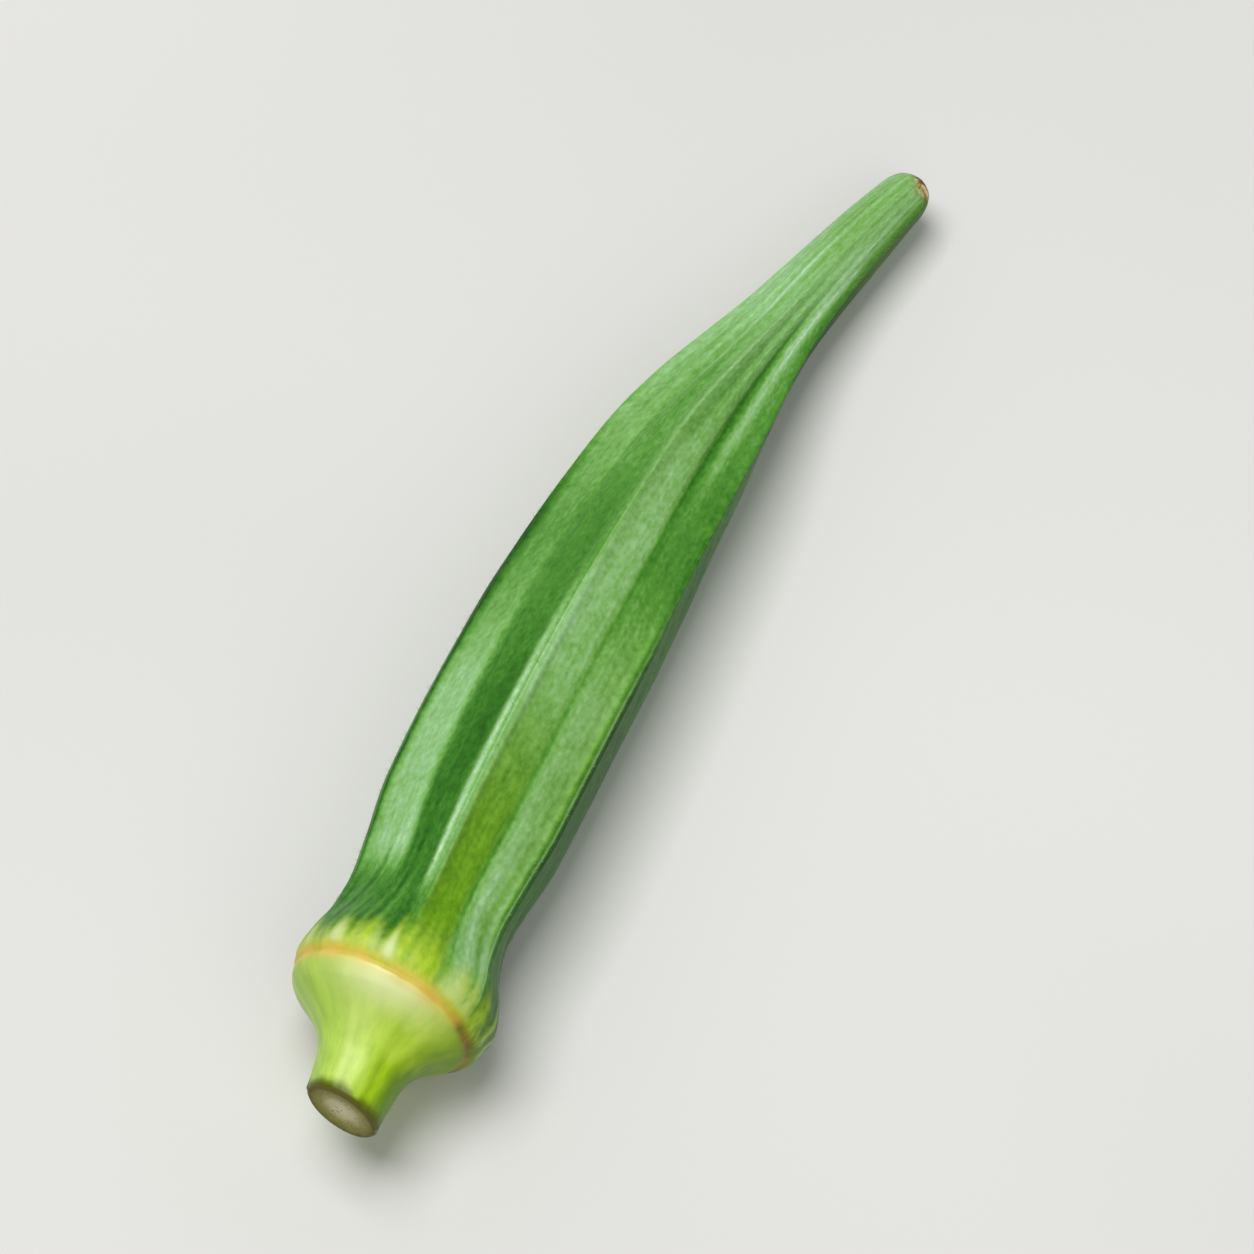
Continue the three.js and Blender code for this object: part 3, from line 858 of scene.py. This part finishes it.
# Tone of the shoulder and cap before their painted shade, and how deep that painted shade goes
SHOULDER_LIGHT = 0.5
SHOULDER_SHADING = -0.6
CUT_FACE_ENDS = 1.15
FLECK_LEVEL = 0.4
FLECK_STRENGTH = 0.55
ROUGHNESS = 0.46
CAP_ROUGHNESS = -0.12
CUT_ROUGHNESS = 0.35
DOT_RELIEF = 0.5
RELIEF_STRENGTH = 0.6
FIBRE_DEPTH = 0.02 * MM
SKIN_SHINE = {
    "Specular IOR Level": 0.22, "Sheen Weight": 0.04, "Sheen Roughness": 0.4,
    "Sheen Tint": paint(220, 240, 205), "Subsurface Weight": 0.1,
    "Subsurface Radius": (0.6, 1.0, 0.3), "Subsurface Scale": 0.8 * MM,
}


def body_colour_group():
    """Node group shared by the skin and its hairs: turns a tone, 0 dark to 1 pale, into the green
    of the body, along the ramp through BODY_STOPS."""
    group = bpy.data.node_groups.new("okra_body_green", "ShaderNodeTree")
    group.interface.new_socket("Tone", in_out="INPUT", socket_type="NodeSocketFloat")
    group.interface.new_socket("Colour", in_out="OUTPUT", socket_type="NodeSocketColor")
    entry = add_node(group, "NodeGroupInput")
    green = add_ramp(group, entry.outputs["Tone"], BODY_STOPS)
    add_node(group, "NodeGroupOutput", {"Colour": green})
    return group


def grained(tree, level, amounts):
    """A level plus the spread of each grain pattern by its amount, held between 0 and 1."""
    return add_up(tree, level, *(spread(tree, grains[name], amounts[name]) for name in amounts))


skin, tree, shader = new_material("okra_skin")
body_green = body_colour_group()
on_tube = add_node(tree, "ShaderNodeAttribute", attribute_name="unrolled").outputs["Vector"]
grains = {name: streaks(tree, on_tube, *grain) for name, grain in GRAINS.items()}
dots = add_node(tree, "ShaderNodeTexVoronoi", {"Vector": on_tube, "Scale": HAIR_DOTS})
dot_inputs = {"Value": dots.outputs["Distance"], **HAIR_DOT_REACH}
dot = add_node(tree, "ShaderNodeMapRange", dot_inputs).outputs["Result"]
tone_and_dots = add_math(tree, "MULTIPLY_ADD", dot, HAIR_DOT_SHADE, read_number(tree, "tone"))
shade = grained(tree, tone_and_dots, BODY_GRAIN)
colour = add_node(tree, "ShaderNodeGroup", {"Tone": shade}, node_tree=body_green).outputs["Colour"]
warm = read_number(tree, "warm")
painted_shade_and_streaks = read_number(tree, "painted_shade_and_streaks")
# Tone of the shoulder and cap, darkened by their painted shade and lightened along the creases
lit = add_math(tree, "MULTIPLY_ADD", painted_shade_and_streaks, SHOULDER_SHADING, SHOULDER_LIGHT)
shoulder_tone = grained(tree, lit, SHOULDER_GRAIN)
colour = mix_colours(tree, warm, colour, add_ramp(tree, shoulder_tone, OLIVE_STOPS))
shoulder_colour = add_ramp(tree, shoulder_tone, SHOULDER_STOPS)
colour = mix_colours(tree, read_number(tree, "lime"), colour, shoulder_colour)
colour = mix_colours(tree, read_number(tree, "cream"), colour, PLEAT_CREAM)
cap_tone = grained(tree, lit, CAP_GRAIN)
cap_green = add_ramp(tree, cap_tone, CAP_GREEN_STOPS)
cap_colour = mix_colours(tree, warm, cap_green, add_ramp(tree, cap_tone, CAP_LIME_STOPS))
colour = mix_colours(tree, read_number(tree, "cap"), colour, cap_colour)
# The lip's cream, and the painted highlight on the stalk and cap
colour = mix_colours(tree, read_number(tree, "lip"), colour, LIP_CREAM)
ring_tone = grained(tree, read_number(tree, "ring_darkening"), RING_GRAIN)
colour = mix_colours(tree, read_number(tree, "ring"), colour, add_ramp(tree, ring_tone, RING_STOPS))
on_object = add_node(tree, "ShaderNodeTexCoord").outputs["Object"]
scar_colour = add_ramp(tree, streaks(tree, on_object, *SCAR_GRAIN), SCAR_STOPS)
colour = mix_colours(tree, read_number(tree, "scar"), colour, scar_colour)
colour = mix_colours(tree, read_number(tree, "rind"), colour, RIND_GREEN)
cut_place = read_number(tree, "cut")
on_cut = add_math(tree, "LESS_THAN", cut_place, CUT_FACE_ENDS)
fleck = add_math(tree, "LESS_THAN", grains["speckle"], FLECK_LEVEL)
fleck = add_math(tree, "MULTIPLY", fleck, FLECK_STRENGTH)
pith = add_ramp(tree, grained(tree, cut_place, CUT_GRAIN), CUT_STOPS)
colour = mix_colours(tree, on_cut, colour, mix_colours(tree, fleck, pith, CUT_FLECK))
tree.links.new(colour, shader.inputs["Base Color"])
roughness = add_math(tree, "MULTIPLY_ADD", read_number(tree, "cap"), CAP_ROUGHNESS, ROUGHNESS)
roughness = add_math(tree, "MULTIPLY_ADD", on_cut, CUT_ROUGHNESS, roughness)
tree.links.new(grained(tree, roughness, ROUGHNESS_GRAIN), shader.inputs["Roughness"])
height = add_math(tree, "MULTIPLY_ADD", dot, DOT_RELIEF, grains["fibres"])
relief = {
    "Height": grained(tree, height, RELIEF_GRAIN), "Strength": RELIEF_STRENGTH,
    "Distance": FIBRE_DEPTH,
}
bump = add_node(tree, "ShaderNodeBump", relief)
tree.links.new(bump.outputs["Normal"], shader.inputs["Normal"])
for name, value in SKIN_SHINE.items():
    shader.inputs[name].default_value = value
pod_mesh.materials.append(skin)


# Fine hairs of the skin. Short and stiff, they stand on the body and lean to the tip, thickest on
# the rib ridges and the paler half faces, with none on the cap. Each is a slim three-sided spike
# sunk in the skin, a little paler than the skin under it.
HAIR_SUNK = 0.03
HAIR_LEAN = 0.6
HAIR_LEAN_SHARES = (0.2, 1)
HAIR_TILT = 0.35
HAIR_CLEARANCE = 0.12
HAIR_TRIES = 8
RIDGE_HAIRS, RIDGE_HAIRS_WIDTH = 0.4, 4
FACE_HAIRS, PALE_FACE_HAIRS = 0.1, 0.5
WIDEST_RADIUS = 10.5
SPIKE_FACES = np.array([[0, 2, 1], [0, 1, 3], [1, 2, 3], [2, 0, 3]])
HAIR_PALER = 0.12
HAIR_PATCHES = 0.9 / MM
HAIR_PATCH_SHADE = 0.4
HAIR_ROUGHNESS = 0.5
HAIR_SHEEN = 0.3
HAIR_SEED = 31
# Of each group: how many, stretch along the pod, share on the faces, shortest and longest, width
HAIRS = {
    "okra_fuzz_body": (30000, (18, 84), 1, (0.1, 0.24), 0.012),
    "okra_fuzz_taper": (12000, (84, 117.5), 1, (0.1, 0.22), 0.012),
    "okra_fuzz_ribs": (2600, (20, 74), 0, (0.25, 0.6), 0.022),
}


def hair_places(count, stretch, on_faces, rng):
    """Seeded places on the skin in a stretch along the pod, each kept by a chance: a bell round the
    rib plus a share of the tone, times the radius over the widest."""
    s = rng.uniform(*stretch, count * HAIR_TRIES)
    angle = rng.uniform(0, 360, count * HAIR_TRIES)
    _, along, half = face_place(angle)
    from_rib = np.minimum(along, 2 * half - along)
    # More hairs where the half face's tone is paler; that paleness is partly painted sheen
    on_face = FACE_HAIRS + PALE_FACE_HAIRS * half_face_tone(s, angle)
    chance = RIDGE_HAIRS * bell(from_rib, RIDGE_HAIRS_WIDTH) + on_faces * on_face
    kept = rng.uniform(0, 1, count * HAIR_TRIES) < chance * crest_radius(s) / WIDEST_RADIUS
    return s[kept][:count], angle[kept][:count]


def hair_mesh(name, s, angle, lengths, width, rng):
    """Mesh of four-cornered spikes: three corners round a point of the skin, and the tip out
    along the normal plus a lean along the pod and a seeded tilt. Keeps the tone of the skin under
    each spike, and drops a spike that would reach the floor."""
    step = 0.05
    at = skin_points(s, angle, skin_radius(s, angle))
    ahead = skin_points(s + step, angle, skin_radius(s + step, angle)) - at
    around = skin_points(s, angle + step, skin_radius(s, angle + step)) - at
    ahead = ahead / np.linalg.norm(ahead, axis=-1, keepdims=True)
    normal = np.cross(ahead, around)
    normal = -normal / np.linalg.norm(normal, axis=-1, keepdims=True)
    across = np.cross(normal, ahead)
    count = len(s)
    length = rng.uniform(*lengths, count)[:, None]
    tilt = rng.normal(0, HAIR_TILT, (2, count, 1))
    forward = HAIR_LEAN * rng.uniform(*HAIR_LEAN_SHARES, (count, 1)) + tilt[0]
    lean = normal + ahead * forward + across * tilt[1]
    lean = lean / np.linalg.norm(lean, axis=-1, keepdims=True)
    base = at - normal * HAIR_SUNK
    turns = np.arange(3) * 2 * np.pi / 3
    corners = [base + width * (ahead * np.cos(t) + across * np.sin(t)) for t in turns]
    tip = at + lean * length
    verts = np.stack([*corners, tip], 1)
    clear = verts[..., 2].min(1) > HAIR_CLEARANCE
    verts = (verts[clear] + centring) * MM
    faces = np.arange(len(verts))[:, None, None] * 4 + SPIKE_FACES
    mesh = bpy.data.meshes.new(name)
    mesh.from_pydata(verts.reshape(-1, 3), [], faces.reshape(-1, 3))
    mesh.update()
    # Each hair takes the skin's tone under it, with that tone's painted sheen and shade
    under = np.repeat(half_face_tone(s, angle)[clear], 4)
    layer = mesh.attributes.new("under", "FLOAT", "POINT")
    layer.data.foreach_set("value", under.astype(np.float32))
    return mesh


fuzz, tree, shader = new_material("okra_fuzz")
where = add_node(tree, "ShaderNodeTexCoord").outputs["Object"]
patch_inputs = {"Vector": where, "Scale": HAIR_PATCHES}
patches = add_node(tree, "ShaderNodeTexNoise", patch_inputs).outputs["Fac"]
under = read_number(tree, "under")
hair_tone = add_up(tree, under, HAIR_PALER, spread(tree, patches, HAIR_PATCH_SHADE))
colour = add_node(tree, "ShaderNodeGroup", {"Tone": hair_tone}, node_tree=body_green)
tree.links.new(colour.outputs["Colour"], shader.inputs["Base Color"])
shader.inputs["Roughness"].default_value = HAIR_ROUGHNESS
shader.inputs["Sheen Weight"].default_value = HAIR_SHEEN
rng = np.random.default_rng(HAIR_SEED)
for name, (count, stretch, on_faces, lengths, width) in HAIRS.items():
    s, angle = hair_places(count, stretch, on_faces, rng)
    hairs = bpy.data.objects.new(name, hair_mesh(name, s, angle, lengths, width, rng))
    bpy.context.scene.collection.objects.link(hairs)
    hairs.data.materials.append(fuzz)
    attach(hairs, "root")


# Stage: a plain pale paper floor under the pod, with a faint unevenness in its tone, and an even
# pale surround. Sizes from here on are metres.
FLOOR_SIDE = 6.0
FLOOR_CLOUDS = 6.0
FLOOR_STOPS = [(0.3, paint(210, 209, 205)), (0.7, paint(218, 217, 213))]
FLOOR_ROUGHNESS = 0.8
SURROUND = paint(236, 238, 242)
SURROUND_STRENGTH = 0.32
floor_mesh = bpy.data.meshes.new("floor")
corners = np.array([(-1, -1, 0), (1, -1, 0), (1, 1, 0), (-1, 1, 0)]) * FLOOR_SIDE / 2
floor_mesh.from_pydata(corners, [], [(0, 1, 2, 3)])
floor = bpy.data.objects.new("floor", floor_mesh)
bpy.context.scene.collection.objects.link(floor)
paper, tree, shader = new_material("floor_paper")
where = add_node(tree, "ShaderNodeTexCoord").outputs["Object"]
cloud_inputs = {"Vector": where, "Scale": FLOOR_CLOUDS}
clouds = add_node(tree, "ShaderNodeTexNoise", cloud_inputs).outputs["Fac"]
tree.links.new(add_ramp(tree, clouds, FLOOR_STOPS), shader.inputs["Base Color"])
shader.inputs["Roughness"].default_value = FLOOR_ROUGHNESS
floor_mesh.materials.append(paper)
world = bpy.data.worlds.new("surround")
world.use_nodes = True
background = world.node_tree.nodes["Background"]
background.inputs["Color"].default_value = SURROUND
background.inputs["Strength"].default_value = SURROUND_STRENGTH
bpy.context.scene.world = world
bpy.context.scene.view_settings.view_transform = "Standard"


# Lights: a broad soft one overhead, a little to the far side, and a weaker and wider one on the
# camera's side. Of each: direction from the pod, distance and side in metres, power in watts.
LIGHTS = {"key": ((0, 0.22, 1), 0.8, 0.5, 5.6), "fill": ((-0.5, -0.6, 0.8), 0.9, 0.7, 1.5)}


def add_light(name, toward, distance, side, power):
    """Square area light at a distance from the pod's middle in a direction, aimed back at it."""
    data = bpy.data.lights.new(name, "AREA")
    data.size = side
    data.energy = power
    light = bpy.data.objects.new(name, data)
    direction = Vector(toward).normalized()
    light.location = direction * distance
    light.rotation_mode = "QUATERNION"
    light.rotation_quaternion = (-direction).to_track_quat("-Z", "Y")
    bpy.context.scene.collection.objects.link(light)


for name, values in LIGHTS.items():
    add_light(name, *values)


# Camera: looks down on the pod as the photograph does, from the same distance, with a longer lens.
# Its angles are degrees, and its lens is given in millimetres.
CAMERA_ELEVATION = 62
CAMERA_TURN = 29.2
CAMERA_DISTANCE = 0.443
CAMERA_LENS = 130
elevation, turn = np.radians(CAMERA_ELEVATION), np.radians(CAMERA_TURN)
level = np.cos(elevation)
look = np.array([level * np.cos(turn), level * np.sin(turn), -np.sin(elevation)])
right = np.cross(look, [0, 0, 1]) / level
upright = np.cross(right, look)
axes = np.stack([right, upright, look])
seen = rings.reshape(-1, 3) @ axes.T
aim = (seen.min(0) + seen.max(0)) / 2 @ axes
camera = bpy.data.objects.new("camera", bpy.data.cameras.new("camera"))
camera.data.lens = CAMERA_LENS
camera.location = aim - look * CAMERA_DISTANCE
camera.rotation_mode = "QUATERNION"
camera.rotation_quaternion = Vector(look).to_track_quat("-Z", "Y")
bpy.context.scene.collection.objects.link(camera)
bpy.context.scene.camera = camera
